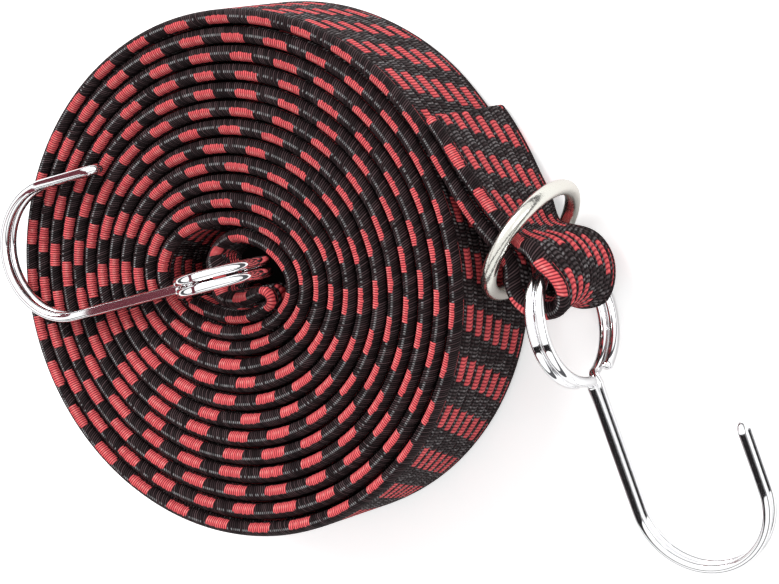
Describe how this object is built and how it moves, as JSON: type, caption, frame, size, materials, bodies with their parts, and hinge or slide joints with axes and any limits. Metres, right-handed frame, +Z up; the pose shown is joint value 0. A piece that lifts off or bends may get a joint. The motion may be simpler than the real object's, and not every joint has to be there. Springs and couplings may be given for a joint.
{
  "type": "bungee cord",
  "caption": "Flat elastic bungee cord in black and red weave, wound in a roll, with a chrome double wire hook at each end and a wire clamp ring.",
  "frame": {"origin": "middle of the footprint, on the surface that the roll lies on", "axes": "+Z up through the roll, +X from the inner hook towards the outer hook, +Y away from the outer hook's bend"},
  "size_m": [0.1588, 0.104, 0.0402],
  "materials": {
    "weave": "woven polyester sheath, black with red dashes",
    "latex": "plain latex rubber strands, hidden inside the sheath",
    "chrome_wire": "bright chrome plated steel wire",
    "satin_wire": "satin nickel plated steel wire"
  },
  "bodies": {
    "cord": {"strap_cover": "weave", "rubber_core": "latex", "clamp_ring": "satin_wire"},
    "hook_at_outer_end": {"outer_hook": "chrome_wire"},
    "hook_at_inner_end": {"inner_hook": "chrome_wire"}
  },
  "joints": [
    {"name": "outer_hook_lift", "type": "hinge", "parent": "cord", "child": "hook_at_outer_end", "pos_m": [0.04167, -0.00398, 0.014], "axis": [-0.9646, -0.2639, 0], "range_deg": [0, 100]},
    {"name": "inner_hook_lift", "type": "hinge", "parent": "cord", "child": "hook_at_inner_end", "pos_m": [-0.02613, 0.00102, 0.03045], "axis": [-0.2857, 0.9583, 0], "range_deg": [0, 90]}
  ]
}
